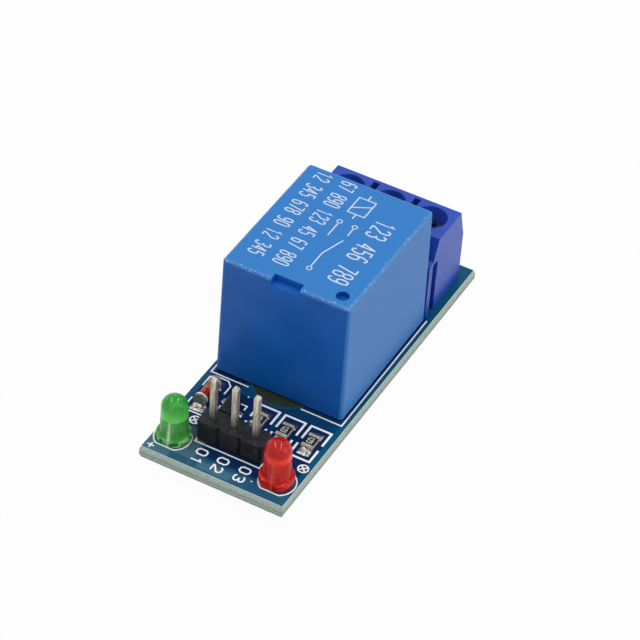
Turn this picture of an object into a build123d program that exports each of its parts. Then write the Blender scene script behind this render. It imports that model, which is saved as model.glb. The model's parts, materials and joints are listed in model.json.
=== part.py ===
from build123d import *
import os
from math import atan, cos, degrees, radians, sin

# Relay module board. Millimetres, +Z up, +Y from the pin header towards the screw terminal.
# The origin is under the middle of the board, on the plane of the lead tips it stands on.
# Insets are measured from the left edge of the board's top face, lines from its front edge.
os.makedirs("parts", exist_ok=True)

# Board
board_width = 16.67
board_thickness = 1.6
rear_margin = 1.98
score_depth = 0.4
score_set_back = 0.17
lead_stand_out = 1.5
hole_play = 0.12
solder_height = 0.95
solder_overlap = 0.42
solder_sides = 10
solder_neck_wall = 0.06

# Lamps
lamp_line = 2.8
left_lamp_inset = 2.15
right_lamp_inset = 14.35
lamp_stand_off = 0.15
lamp_height = 5.55
lamp_flange_radius = 1.9
lamp_flange_thickness = 1.0
lamp_body_radius = 1.47
lamp_flat_set_back = 0.25
lamp_lead_spacing = 2.54
lamp_lead = 0.48
lamp_shoulder_rise = 0.55
lamp_shoulder = 0.6
lamp_frame_rise = 2.7
lamp_frame_gap = 0.25
lamp_cup_radius = 0.42
lamp_cup_sides = 8
lamp_cup_floor_radius = 0.25
lamp_cup_depth = 0.3
lamp_cup_wall = 0.14
lamp_die = 0.26
lamp_die_height = 0.12

# Pin header
pin_ways = 3
pin_spacing = 2.54
pin_width = 0.64
pin_height = 8.14
pin_point = 0.3
pin_tip_width = 0.32
header_line = 5.17
header_inset = 7.98
header_depth = 2.5
header_height = 2.54
header_corner = 0.25

# Chip resistors
resistor_count = 3
first_resistor_inset = 8.55
resistor_spacing = 3.075
chip_line = 9.43
resistor_length = 2.0
resistor_width = 1.25
resistor_height = 0.5
resistor_end = 0.4
plating = 0.05
solder_film = 0.05
solder_toe = 0.1
solder_hold = 0.2
resistor_solder_rise = 0.3
chip_pad_length = 1.3
chip_pad_reach = 0.85
chip_pad_overhang = 0.08

# Glass diode
diode_inset = 2.05
diode_line = 10.0
diode_length = 3.5
diode_radius = 0.75
diode_glass_radius = 0.62
diode_end = 0.45
diode_stud_radius = 0.4
diode_die_width = 0.5
diode_die_thickness = 0.25
diode_pad_length = 1.3
diode_pad_reach = 0.85
diode_solder_height = 0.4

# Small transistor
transistor_inset = 5.1
transistor_line = 9.4
transistor_length = 2.9
transistor_width = 1.3
transistor_height = 0.95
transistor_foot_gap = 0.08
transistor_draft = 7
transistor_lead_spacing = 1.9
transistor_lead_width = 0.42
transistor_lead_thickness = 0.12
transistor_lead_reach = 1.2
transistor_foot = 0.35
transistor_lead_hold = 0.26
transistor_knee = 0.12
transistor_pad_length = 0.85
transistor_pad_width = 0.67
transistor_pad_toe = 0.3

# Relay cover, base and compound
relay_line = 13.93
relay_inset = 8.29
relay_width = 15.23
relay_length = 18.89
relay_height = 15.25
relay_stand_off = 0.3
relay_draft = 0.56
relay_wall = 0.8
relay_top_wall = 0.9
relay_corner = 0.4
relay_edge = 0.4
notch_width = 3.4
notch_depth = 1.1
notch_height = 0.8
notch_wall = 0.6
vent_inset = 1.8
vent_set_back = 1.7
vent_radius = 0.72
vent_depth = 0.6
compound_thickness = 0.6
base_thickness = 1.2
base_play = 0.05
foot_width = 1.3
foot_inset = 1.4
contact_boss_height = 2.2
contact_boss_wall = 0.7

# Relay pins
common_set_back = 2.4
coil_set_back = 2.0
contact_rear_set_back = 2.29
side_pin_inset = 1.615
coil_pin_width = 0.6
coil_pin_rise = 0.8
common_width = 1.2
common_thickness = 0.5
common_rise = 3.4
contact_strip_width = 1.0
contact_strip_thickness = 0.4

# Relay magnet
yoke_thickness = 1.0
yoke_width = 8.0
core_share = 0.36
core_play = 0.02
pole_radius = 2.9
pole_thickness = 0.6
former_play = 0.15
former_wall = 0.6
former_flange = 0.8
former_pin_gap = 0.5
former_rear_gap = 2.3
former_ear_width = 1.3
former_ear_length = 1.5
winding_inset = 0.4
armature_thickness = 1.0
armature_overhang = 3.0
open_angle = 3.5
stud_radius = 0.8
stud_rise = 0.25
leaf_thickness = 0.2
leaf_width = 4.5
leaf_pin_gap = 2.0
leaf_stud_play = 0.03

# Relay contacts
contact_arm_reach = 1.6
contact_radius = 1.0
leaf_tip_margin = 0.5
contact_head = 0.4
contact_gap = 0.03
contact_overlap = 1.0
cover_headroom = 0.5

# Screw terminal housing
terminal_gap = 0.28
terminal_ways = 3
way_spacing = 5.08
terminal_centre_inset = 8.18
terminal_depth = 8.1
terminal_height = 10.0
front_step = 7.2
front_ledge = 0.85
front_ledge_rise = 0.3
front_slope = 1.85
rear_slope = 1.05
rear_ledge = 0.2
rear_step = 6.6
rear_ledge_rise = 0.4
screw_line = 4.65
well_radius = 1.85
chamber_width = 3.9
chamber_front = 2.1
chamber_length = 4.85
chamber_height = 6.6
entry_width = 3.6
entry_floor = 1.1
entry_height = 4.0
entry_bevel = 0.3
pocket_width = 0.75
pocket_length = 1.3
pocket_depth = 2.0
pocket_set_back = 0.4
dovetail_line = 0.8
dovetail_mouth = 1.1
dovetail_flare = 0.15
dovetail_depth = 0.5
dovetail_height = 7.0
dovetail_play = 0.05

# Terminal cage, screw and clamp plate
cage_play = 0.05
cage_floor_rise = 0.2
cage_wall = 0.6
cage_floor = 0.7
cage_top = 1.2
cage_bend = 0.35
terminal_pin_width = 1.0
terminal_pin_thickness = 0.7
screw_radius = 1.25
screw_play = 0.04
screw_pitch = 0.45
screw_turns = 4
screw_head_radius = 1.7
screw_head_height = 1.1
screw_flush_margin = 0.2
screw_slot_width = 0.6
screw_slot_depth = 0.55
clamp_width = 3.3
clamp_thickness = 0.5
clamp_play = 0.25
clamp_rest = 0.1
clamp_lip = 0.5
screw_tip_gap = 0.02

# Worked out from the sizes above
board_length = relay_line + relay_length + terminal_gap + terminal_depth + rear_margin
board_bottom = lead_stand_out
board_top = board_bottom + board_thickness
relay_x = relay_inset - board_width / 2
relay_front = relay_line - board_length / 2
relay_y = relay_front + relay_length / 2
relay_bottom = board_top + relay_stand_off
base_bottom = relay_bottom + compound_thickness
base_top = base_bottom + base_thickness
cavity_top = relay_bottom + relay_height - relay_top_wall
common_y = relay_front + common_set_back
coil_y = common_y + coil_set_back
contact_pin_y = relay_front + relay_length - contact_rear_set_back
moving_contact_y = contact_pin_y - contact_arm_reach
pin_half_spread = relay_width / 2 - side_pin_inset
yoke_front = common_y + common_thickness / 2
former_front = yoke_front + yoke_thickness + former_play
former_rear = contact_pin_y - contact_strip_thickness / 2 - contact_boss_wall - former_rear_gap
former_length = former_rear - former_front
former_width = 2 * (pin_half_spread - former_pin_gap)
core_y = former_front + former_length / 2
winding_radius = former_length / 2 - winding_inset
core_radius = core_share * winding_radius
former_bottom = base_top + yoke_thickness
contact_lift = (moving_contact_y - yoke_front + contact_radius) * sin(radians(open_angle))
moving_stack = (armature_thickness + leaf_thickness + contact_head) * cos(radians(open_angle))
upper_contact_rise = contact_lift + moving_stack + contact_gap
upper_contact_face = cavity_top - cover_headroom - contact_strip_thickness - contact_head
pole_top = upper_contact_face - upper_contact_rise
lower_contact_face = pole_top + armature_thickness - contact_head - contact_gap
former_height = pole_top - pole_thickness - former_bottom
winding_height = former_height - 2 * former_flange
terminal_x = terminal_centre_inset - board_width / 2
terminal_front = relay_front + relay_length + terminal_gap
terminal_width = terminal_ways * way_spacing
screw_y = terminal_front + screw_line
cage_front = terminal_front + chamber_front + cage_play
cage_length = chamber_length - 2 * cage_play
cage_bottom = board_top + cage_floor_rise
cage_upper = board_top + chamber_height - cage_play
clamp_bottom = cage_bottom + cage_floor + clamp_rest
screw_tip = clamp_bottom + clamp_thickness + screw_tip_gap
screw_travel = screw_pitch * screw_turns
screw_head_top = board_top + terminal_height - screw_flush_margin - screw_travel


def spot(inset, line):
    """Centre of a part that is given by its inset and line on the board."""
    return inset - board_width / 2, line - board_length / 2


def block(x, y, z):
    """Box between the low and high ends of three ranges."""
    size = Box(x[1] - x[0], y[1] - y[0], z[1] - z[0])
    return Pos((x[0] + x[1]) / 2, (y[0] + y[1]) / 2, (z[0] + z[1]) / 2) * size


def around(middle, width):
    """Range of the given width about its middle."""
    return middle - width / 2, middle + width / 2


def rod(x, y, z, radius):
    """Upright cylinder over the height range z."""
    return Pos(x, y, (z[0] + z[1]) / 2) * Cylinder(radius, z[1] - z[0])


def side_profile(points, x):
    """Outline in Y and Z, given width along the range x."""
    face = make_face(Plane.YZ * Polyline(*points, close=True))
    return extrude(Pos(x[0], 0, 0) * face, x[1] - x[0], dir=(1, 0, 0))


def front_profile(points, y):
    """Outline in X and Z, given depth along the range y."""
    face = make_face(Plane.XZ * Polyline(*points, close=True))
    return extrude(Pos(0, y[0], 0) * face, y[1] - y[0], dir=(0, 1, 0))


def cut_by(shape, tools):
    """The shape with every tool's volume taken out."""
    for tool in tools:
        shape = shape - tool
    return shape


def header_pin_places():
    """Centres of the header pins, from left to right."""
    x, y = spot(header_inset, header_line)
    first = x - pin_spacing * (pin_ways - 1) / 2
    return [(first + pin_spacing * i, y) for i in range(pin_ways)]


def terminal_places():
    """Centres of the terminal screws, from left to right."""
    first = terminal_x - way_spacing * (terminal_ways - 1) / 2
    return [(first + way_spacing * i, screw_y) for i in range(terminal_ways)]


def lamp_places():
    """Centres of the left and the right lamp."""
    return [spot(left_lamp_inset, lamp_line), spot(right_lamp_inset, lamp_line)]


def coil_pin_places():
    """Centres of the two relay coil pins."""
    return [(relay_x - pin_half_spread, coil_y), (relay_x + pin_half_spread, coil_y)]


def contact_pin_places():
    """Centres of the lower and the upper contact's pins."""
    return [(relay_x - pin_half_spread, contact_pin_y), (relay_x + pin_half_spread, contact_pin_y)]


def hole_radius(width, thickness):
    """Drilled hole that a lead of this section passes with play at its corners."""
    return (width ** 2 + thickness ** 2) ** 0.5 / 2 + hole_play


def lead_groups():
    """Lead centres and hole radius of each soldered component."""
    lamp_leads = [(x, y + side * lamp_lead_spacing / 2) for x, y in lamp_places() for side in (-1, 1)]
    return {
        "lamps": (lamp_leads, hole_radius(lamp_lead, lamp_lead)),
        "header": (header_pin_places(), hole_radius(pin_width, pin_width)),
        "relay_coil": (coil_pin_places(), hole_radius(coil_pin_width, coil_pin_width)),
        "relay_common": ([(relay_x, common_y)], hole_radius(common_width, common_thickness)),
        "relay_contacts": (contact_pin_places(),
                           hole_radius(contact_strip_width, contact_strip_thickness)),
        "terminal": (terminal_places(), hole_radius(terminal_pin_width, terminal_pin_thickness)),
    }


def circuit_board():
    """Laminate with snapped, scored edges and a drilled hole for every lead."""
    outline = Rectangle(board_width + 2 * score_set_back, board_length + 2 * score_set_back)
    bevel = degrees(atan(score_set_back / score_depth))
    web = extrude(outline, board_thickness - 2 * score_depth)
    upper = Pos(0, 0, board_thickness - 2 * score_depth) * extrude(outline, score_depth, taper=bevel)
    lower = mirror(extrude(outline, score_depth, taper=bevel), Plane.XY)
    board = Pos(0, 0, board_bottom + score_depth) * (web + upper + lower)
    for places, radius in lead_groups().values():
        board = cut_by(board, [rod(x, y, (board_bottom, board_top), radius) for x, y in places])
    return board


def solder_joints(group, leads):
    """Solder that climbs a group's leads below the board, drawn as many-sided cones."""
    places, radius = lead_groups()[group]
    neck = radius - hole_play + solder_neck_wall
    slope = degrees(atan((radius + solder_overlap - neck) / solder_height))
    foot = RegularPolygon(radius + solder_overlap, solder_sides, major_radius=False)
    cone = Pos(0, 0, board_bottom) * mirror(extrude(foot, solder_height, taper=slope), Plane.XY)
    return Compound([Pos(x, y, 0) * cone - lead for (x, y), lead in zip(places, leads)])


def lamp_lens(x, y, frames):
    """Round-topped lens with a flanged foot, flat on the cup side, moulded round the lead frame."""
    low = board_top + lamp_stand_off
    dome_start = lamp_height - lamp_body_radius
    halfway = lamp_body_radius * cos(radians(45))
    dome = ThreePointArc((lamp_body_radius, dome_start), (halfway, dome_start + halfway), (0, lamp_height))
    side = Polyline((0, lamp_height), (0, 0), (lamp_flange_radius, 0),
                    (lamp_flange_radius, lamp_flange_thickness),
                    (lamp_body_radius, lamp_flange_thickness), (lamp_body_radius, dome_start))
    lens = Pos(x, y, low) * revolve(make_face(Plane.XZ * (dome + side)), Axis.Z)
    flat = y - lamp_flange_radius + lamp_flat_set_back
    lens -= block(around(x, 2 * lamp_flange_radius), (flat - 2 * lamp_flat_set_back, flat),
                  (low, low + lamp_flange_thickness))
    return cut_by(lens, frames)


def lamp_frame(x, y, side):
    """Half of a lamp's lead frame: side -1 carries the reflector cup, side 1 is the plain post."""
    foot = board_top + lamp_stand_off
    shoulder = foot + lamp_shoulder_rise
    top = foot + lamp_frame_rise
    outer = lamp_lead_spacing / 2 + lamp_lead / 2
    inner = outer - lamp_lead
    cup = lamp_cup_radius + lamp_cup_wall
    end = cup + lamp_frame_gap if side > 0 else -cup
    points = [(outer, 0), (outer, shoulder), (outer - lamp_lead, shoulder + lamp_shoulder)]
    if side > 0:
        points += [(end + lamp_lead, shoulder + lamp_shoulder), (end + lamp_lead, top), (end, top),
                   (end, shoulder), (inner, shoulder), (inner, 0)]
    else:
        points += [(cup, shoulder + lamp_shoulder), (cup, top), (end, top),
                   (end, shoulder), (inner, shoulder), (inner, 0)]
    profile = [(y + side * v, w) for v, w in points]
    frame = side_profile(profile, around(x, lamp_lead))
    if side < 0:
        rim = RegularPolygon(cup, lamp_cup_sides)
        frame = frame + Pos(x, y, top - 2 * lamp_cup_depth) * extrude(rim, 2 * lamp_cup_depth)
        slope = degrees(atan((lamp_cup_radius - lamp_cup_floor_radius) / lamp_cup_depth))
        bowl = mirror(extrude(RegularPolygon(lamp_cup_radius, lamp_cup_sides), lamp_cup_depth, taper=slope),
                      Plane.XY)
        frame = frame - Pos(x, y, top) * bowl
    return frame


def lamp_chip(x, y):
    """Light-emitting chip on the floor of the reflector cup."""
    floor = board_top + lamp_stand_off + lamp_frame_rise - lamp_cup_depth
    return block(around(x, lamp_die), around(y, lamp_die), (floor, floor + lamp_die_height))


def header_pin(x, y):
    """Square pin, pointed at both ends."""
    low, high = 0, board_top + pin_height
    slope = degrees(atan((pin_width - pin_tip_width) / 2 / pin_point))
    stem = block(around(x, pin_width), around(y, pin_width), (low + pin_point, high - pin_point))
    point = extrude(Rectangle(pin_width, pin_width), pin_point, taper=slope)
    return stem + Pos(x, y, high - pin_point) * point + Pos(x, y, low + pin_point) * mirror(point, Plane.XY)


def header_body(pins):
    """Row of eight-sided cells moulded in one piece."""
    cell = chamfer(Rectangle(pin_spacing, header_depth).vertices(), header_corner)
    row = [Pos(x, y, board_top) * extrude(cell, header_height) for x, y in header_pin_places()]
    body = row[0]
    for piece in row[1:]:
        body = body + piece
    return cut_by(body, pins)


def chip_solder(x, y, width, pad_length, reach, height, body):
    """Two solder fillets on the pads at the ends of a chip that lies along Y."""
    fillets = []
    for side in (-1, 1):
        tip = reach + pad_length / 2
        heel = reach - pad_length / 2
        points = [(heel, 0), (tip, 0), (tip - solder_toe, solder_film), (body / 2, height),
                  (body / 2 - solder_hold, height), (heel, solder_film)]
        profile = [(y + side * v, board_top + w) for v, w in points]
        fillets.append(side_profile(profile, around(x, width)))
    return fillets


def resistor_places():
    """Where across the board the chip resistors lie, from left to right."""
    first = spot(first_resistor_inset, chip_line)[0]
    return [first + resistor_spacing * i for i in range(resistor_count)]


def resistor_box(x, length, width, low, high):
    """Upright-sided chip outline centred on a resistor's place."""
    y = spot(0, chip_line)[1]
    return block(around(x, width), around(y, length), (low, high))


def resistor_body(x):
    """Ceramic chip, thinner where its ends are plated."""
    low = board_top + solder_film
    high = low + resistor_height
    bare = resistor_length - 2 * resistor_end
    core = resistor_box(x, resistor_length - 2 * plating, resistor_width, low + plating, high - plating)
    return core + resistor_box(x, bare, resistor_width, low, high)


def resistor_ends(x):
    """Plated caps wrapped round both ends of a resistor."""
    low = board_top + solder_film
    whole = resistor_box(x, resistor_length, resistor_width, low, low + resistor_height)
    return whole - resistor_body(x)


def resistor_solder(x):
    """Solder under and beyond both ends of a resistor."""
    y = spot(0, chip_line)[1]
    width = resistor_width + 2 * chip_pad_overhang
    reach = resistor_length / 2 + chip_pad_reach - chip_pad_length / 2
    fillets = chip_solder(x, y, width, chip_pad_length, reach, solder_film + resistor_solder_rise,
                          resistor_length)
    low = board_top + solder_film
    chip = resistor_box(x, resistor_length, resistor_width, low, low + resistor_height)
    return Compound([fillet - chip for fillet in fillets])


def diode_axis():
    """Centre of the glass diode."""
    x, y = spot(diode_inset, diode_line)
    return x, y, board_top + solder_film + diode_radius


def barrel(length, radius):
    """Cylinder along Y centred on the diode."""
    return Pos(*diode_axis()) * Rot(90, 0, 0) * Cylinder(radius, length)


def diode_glass():
    """Glass sleeve between the two end caps, with room for the studs and the pellet."""
    sleeve = barrel(diode_length - 2 * diode_end, diode_glass_radius)
    return sleeve - barrel(diode_length, diode_stud_radius)


def diode_ends():
    """Metal end caps, each with a stud that reaches the pellet inside the glass."""
    cap = barrel(diode_length, diode_radius) - barrel(diode_length - 2 * diode_end, diode_radius * 2)
    studs = barrel(diode_length - diode_end, diode_stud_radius) - barrel(diode_die_thickness, diode_radius)
    return cap + studs


def diode_chip():
    """Silicon pellet held between the two studs."""
    x, y, z = diode_axis()
    return block(around(x, diode_die_width), around(y, diode_die_thickness), around(z, diode_die_width))


def diode_solder():
    """Solder that cradles both end caps of the diode."""
    x, y, z = diode_axis()
    reach = diode_length / 2 + diode_pad_reach - diode_pad_length / 2
    fillets = chip_solder(x, y, 2 * diode_radius, diode_pad_length, reach, diode_solder_height, diode_length)
    return Compound([fillet - barrel(diode_length, diode_radius) for fillet in fillets])


def transistor_lead_profile(side):
    """Gull-wing outline of one transistor lead, drawn from the body outwards."""
    x = spot(transistor_inset, 0)[0]
    low = board_top + solder_film
    mid = low + transistor_foot_gap + transistor_height / 2
    half = transistor_lead_thickness / 2
    root = transistor_width / 2 - transistor_lead_hold
    knee = transistor_width / 2 + transistor_knee
    heel = transistor_lead_reach - transistor_foot
    points = [(root, mid - half), (knee - half, mid - half), (heel - half, low),
              (transistor_lead_reach, low), (transistor_lead_reach, low + 2 * half),
              (heel + half, low + 2 * half), (knee + half, mid + half), (root, mid + half)]
    return [(x + side * u, w) for u, w in points]


def transistor_lead_places():
    """Side and line offset of each of the three leads."""
    half = transistor_lead_spacing / 2
    return [(-1, -half), (-1, half), (1, 0)]


def transistor_leads():
    """Three formed leads of the transistor."""
    y = spot(0, transistor_line)[1]
    return Compound([front_profile(transistor_lead_profile(side), around(y + v, transistor_lead_width))
                     for side, v in transistor_lead_places()])


def transistor_body():
    """Moulded body, drafted up and down from its parting line."""
    x, y = spot(transistor_inset, transistor_line)
    mid = board_top + solder_film + transistor_foot_gap + transistor_height / 2
    half = extrude(Rectangle(transistor_width, transistor_length), transistor_height / 2,
                   taper=transistor_draft)
    body = Pos(x, y, mid) * (half + mirror(half, Plane.XY))
    return cut_by(body, transistor_leads().solids())


def transistor_solder():
    """Solder on the three transistor pads."""
    x, y = spot(transistor_inset, transistor_line)
    pads = []
    for side, v in transistor_lead_places():
        tip = x + side * (transistor_lead_reach + transistor_pad_toe)
        heel = tip - side * transistor_pad_length
        toe = x + side * transistor_lead_reach
        low = board_top + solder_film
        points = [(heel, board_top), (tip, board_top), (toe, low + transistor_lead_thickness),
                  (toe, low), (heel, low)]
        pads.append(front_profile(points, around(y + v, transistor_pad_width)))
    return Compound(pads)


def relay_outline(inset, height):
    """Drafted square-cornered block on the relay's plan, set in from its outer wall."""
    plan = Rectangle(relay_width - 2 * inset, relay_length - 2 * inset)
    return Pos(relay_x, relay_y, relay_bottom) * extrude(plan, height, taper=relay_draft)


def notch_block(margin):
    """Notch in the cover's top front edge, grown by a margin for the wall behind it."""
    top = relay_bottom + relay_height
    return block(around(relay_x, notch_width + 2 * margin),
                 (relay_front - notch_depth, relay_front + notch_depth + margin),
                 (top - notch_height - margin, top + notch_height))


def relay_cover():
    """Thin-walled drafted box, open below, with a notch and a blind vent dimple on top."""
    outer = relay_outline(0, relay_height)
    top_edges = outer.faces().sort_by(Axis.Z)[-1].edges()
    corners = outer.edges() - top_edges - outer.faces().sort_by(Axis.Z)[0].edges()
    outer = fillet(corners, relay_corner)
    outer = fillet(outer.faces().sort_by(Axis.Z)[-1].edges(), relay_edge)
    cavity = relay_outline(relay_wall, relay_height - relay_top_wall) - notch_block(notch_wall)
    top = relay_bottom + relay_height
    vent = rod(relay_x + relay_width / 2 - vent_inset, relay_front + vent_set_back,
               (top - vent_depth, top + vent_depth), vent_radius)
    return outer - cavity - notch_block(0) - vent


def relay_feet():
    """Four feet that carry the relay base on the board."""
    across = relay_width / 2 - relay_wall - foot_inset
    along = relay_length / 2 - relay_wall - foot_inset
    return [block(around(relay_x + i * across, foot_width), around(relay_y + j * along, foot_width),
                  (board_top, base_bottom)) for i in (-1, 1) for j in (-1, 1)]


def contact_bosses():
    """Raised sockets on the base that hold the two contact strips."""
    width = contact_strip_width + 2 * contact_boss_wall
    depth = contact_strip_thickness + 2 * contact_boss_wall
    return [block(around(x, width), around(y, depth), (base_top, base_top + contact_boss_height))
            for x, y in contact_pin_places()]


def relay_base(pins):
    """Base plate on four feet, pierced by the five pins."""
    base = relay_outline(relay_wall + base_play, compound_thickness + base_thickness)
    base = base - relay_outline(0, compound_thickness)
    inside = relay_outline(relay_wall + base_play, relay_height)
    for piece in relay_feet():
        base = base + piece
    for boss in contact_bosses():
        base = base + (boss & inside)
    return cut_by(base, pins)


def relay_compound(pins):
    """Sealing compound poured round the pins, up to the cover's rim."""
    layer = relay_outline(relay_wall, compound_thickness)
    return cut_by(layer, relay_feet() + pins)


def relay_coil_pin(x, y):
    """Square coil pin that ends above the former's ear."""
    return block(around(x, coil_pin_width), around(y, coil_pin_width),
                 (0, former_bottom + former_flange + coil_pin_rise))


def relay_common_pin():
    """Flat common pin that lies against the yoke."""
    return block(around(relay_x, common_width), around(common_y, common_thickness),
                 (0, base_top + common_rise))


def relay_yoke():
    """L-shaped iron yoke: a foot under the former and a wall up to the armature's edge."""
    rear = core_y + core_radius + yoke_thickness
    points = [(yoke_front, base_top), (rear, base_top), (rear, former_bottom),
              (yoke_front + yoke_thickness, former_bottom), (yoke_front + yoke_thickness, pole_top),
              (yoke_front, pole_top)]
    yoke = side_profile(points, around(relay_x, yoke_width))
    return yoke - rod(relay_x, core_y, (base_top, former_bottom), core_radius + core_play)


def relay_core():
    """Iron core, riveted in the yoke's foot, with a wide pole face on top."""
    pole = rod(relay_x, core_y, (pole_top - pole_thickness, pole_top), pole_radius)
    return rod(relay_x, core_y, (base_top, pole_top), core_radius) + pole


def relay_former():
    """Coil former: a tube between two flanges, with an ear for each coil pin."""
    bore = core_radius + core_play
    low = former_bottom
    high = low + former_height
    across = around(relay_x, former_width)
    along = around(core_y, former_length)
    former = rod(relay_x, core_y, (low, high), bore + former_wall)
    former += block(across, along, (low, low + former_flange))
    former += block(across, along, (high - former_flange, high))
    for x, y in coil_pin_places():
        former += block(around(x, former_ear_width), around(y, former_ear_length), (low, low + former_flange))
    former -= rod(relay_x, core_y, (low, high), bore)
    return cut_by(former, [relay_coil_pin(x, y) for x, y in coil_pin_places()])


def relay_winding():
    """Copper winding between the former's flanges."""
    low = former_bottom + former_flange
    high = low + winding_height
    hollow = core_radius + core_play + former_wall + core_play
    winding = rod(relay_x, core_y, (low, high), winding_radius)
    return winding - rod(relay_x, core_y, (low, high), hollow)


def opened(shape):
    """Turns an armature piece from flat on the pole to its open position at rest."""
    hinge = Axis((relay_x, yoke_front, pole_top), (1, 0, 0))
    return shape.rotate(hinge, open_angle)


def relay_armature():
    """Iron plate over the pole, with a staking stud for the leaf."""
    high = pole_top + armature_thickness
    rear = core_y + armature_overhang
    plate = block(around(relay_x, yoke_width), (yoke_front, rear), (pole_top, high))
    return opened(plate + rod(relay_x, core_y, (high, high + leaf_thickness + stud_rise), stud_radius))


def relay_leaf():
    """Contact leaf: bent over the yoke's edge, staked to the armature, reaching the contacts."""
    low = pole_top + armature_thickness
    high = low + leaf_thickness
    outside = yoke_front - leaf_thickness
    end = moving_contact_y + contact_radius + leaf_tip_margin
    across = around(relay_x, leaf_width)
    points = [(outside, pole_top), (yoke_front, pole_top), (yoke_front, low), (end, low), (end, high),
              (outside, high)]
    blade = side_profile(points, across)
    hole = rod(relay_x, core_y, (low, high), stud_radius + leaf_stud_play)
    leg = block(across, (outside, yoke_front), (base_top + common_rise + leaf_pin_gap, pole_top))
    return opened(blade - hole) + leg


def contact_button(low):
    """Round silver contact, standing on the height low."""
    return rod(relay_x, moving_contact_y, (low, low + contact_head), contact_radius)


def relay_moving_contact():
    """Pair of contacts welded to both faces of the leaf's end."""
    low = pole_top + armature_thickness
    buttons = [contact_button(low - contact_head), contact_button(low + leaf_thickness)]
    return Compound([opened(button) for button in buttons])


def contact_strip(side, low):
    """Pin and arm of a fixed contact, bent from one strip: the arm's underside is at low."""
    x = relay_x + side * pin_half_spread
    high = low + contact_strip_thickness
    back = contact_pin_y + contact_strip_thickness / 2
    strip = block(around(x, contact_strip_width), around(contact_pin_y, contact_strip_thickness), (0, high))
    inner = relay_x - side * (contact_radius + contact_overlap / 2)
    outer = x + side * contact_strip_width / 2
    arm = block(sorted((inner, outer)), (moving_contact_y - contact_radius, back), (low, high))
    return strip + arm


def relay_lower_strip():
    """Normally open contact strip, under the moving contact."""
    return contact_strip(-1, lower_contact_face - contact_head - contact_strip_thickness)


def relay_upper_strip():
    """Normally closed contact strip, over the moving contact."""
    return contact_strip(1, upper_contact_face + contact_head)


def relay_fixed_contacts():
    """Contacts welded to the arms of the two fixed strips."""
    return Compound([contact_button(lower_contact_face - contact_head), contact_button(upper_contact_face)])


def dovetail(x, grow, height):
    """Upright dovetail prism whose mouth lies on the plane x, opening towards lower x."""
    front = terminal_front + dovetail_line
    depth = dovetail_depth + grow
    points = [(x, front - grow), (x - depth, front - dovetail_flare - grow),
              (x - depth, front + dovetail_mouth + dovetail_flare + grow), (x, front + dovetail_mouth + grow)]
    face = make_face(Polyline(*points, close=True))
    return extrude(Pos(0, 0, board_top) * face, height, dir=(0, 0, 1))


def terminal_block():
    """Outer form of the terminal housing, with its sloped shoulders."""
    front = terminal_front
    rear = terminal_front + terminal_depth
    top = board_top + terminal_height
    points = [(front, board_top), (front, board_top + front_step),
              (front + front_ledge, board_top + front_step + front_ledge_rise), (front + front_slope, top),
              (rear - rear_slope, top), (rear - rear_ledge, board_top + rear_step + rear_ledge_rise),
              (rear, board_top + rear_step), (rear, board_top)]
    return side_profile(points, around(terminal_x, terminal_width))


def terminal_way(x):
    """Everything cut out of the housing for one way: well, chamber and wire entry."""
    top = board_top + terminal_height
    rear = terminal_front + terminal_depth
    start = terminal_front + chamber_front
    well = rod(x, screw_y, (board_top + chamber_height, top), well_radius)
    chamber = block(around(x, chamber_width), (start, start + chamber_length),
                    (board_top, board_top + chamber_height))
    floor = board_top + entry_floor
    entry = block(around(x, entry_width), (start + chamber_length, rear), (floor, floor + entry_height))
    mouth = Rectangle(entry_width + 2 * entry_bevel, entry_height + 2 * entry_bevel)
    funnel = Pos(x, rear, floor + entry_height / 2) * Plane.XZ * extrude(mouth, entry_bevel, taper=45)
    return [well, chamber, entry, funnel]


def terminal_pocket(x):
    """Small moulded pocket in the top, between two ways."""
    top = board_top + terminal_height
    rear = terminal_front + terminal_depth - rear_slope - pocket_set_back
    return block(around(x, pocket_width), (rear - pocket_length, rear), (top - pocket_depth, top))


def terminal_housing():
    """Moulded housing with a groove in its right end and a matching rib on its left."""
    housing = terminal_block()
    for x, y in terminal_places():
        housing = cut_by(housing, terminal_way(x))
    for x, y in terminal_places()[1:]:
        housing = housing - terminal_pocket(x - way_spacing / 2)
    right = terminal_x + terminal_width / 2
    left = terminal_x - terminal_width / 2
    housing = housing - dovetail(right, 0, dovetail_height)
    return housing + dovetail(left, -dovetail_play, dovetail_height - dovetail_play)


def terminal_cage(x):
    """Bent metal cage, tapped for the screw, with its solder pin."""
    rear = cage_front + cage_length
    ceiling = cage_upper - cage_top
    floor = cage_bottom + cage_floor
    points = [(cage_front, cage_bottom), (rear, cage_bottom), (rear, floor), (cage_front + cage_wall, floor),
              (cage_front + cage_wall, ceiling), (rear, ceiling), (rear, cage_upper),
              (cage_front, cage_upper)]
    cage = side_profile(points, around(x, chamber_width - 2 * cage_play))
    bends = cage.edges().filter_by(Axis.X).group_by(Axis.Y)[0]
    cage = fillet(bends, cage_bend)
    cage = cage - rod(x, screw_y, (ceiling, cage_upper), screw_radius + screw_play)
    return cage + block(around(x, terminal_pin_width), around(screw_y, terminal_pin_thickness),
                        (0, cage_bottom))


def terminal_screw(x):
    """Slotted clamping screw."""
    low = screw_head_top - screw_head_height
    head = rod(x, screw_y, (low, screw_head_top), screw_head_radius)
    slot = block(around(x, screw_slot_width), around(screw_y, 2 * screw_head_radius),
                 (screw_head_top - screw_slot_depth, screw_head_top))
    return rod(x, screw_y, (screw_tip, low), screw_radius) + head - slot


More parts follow.
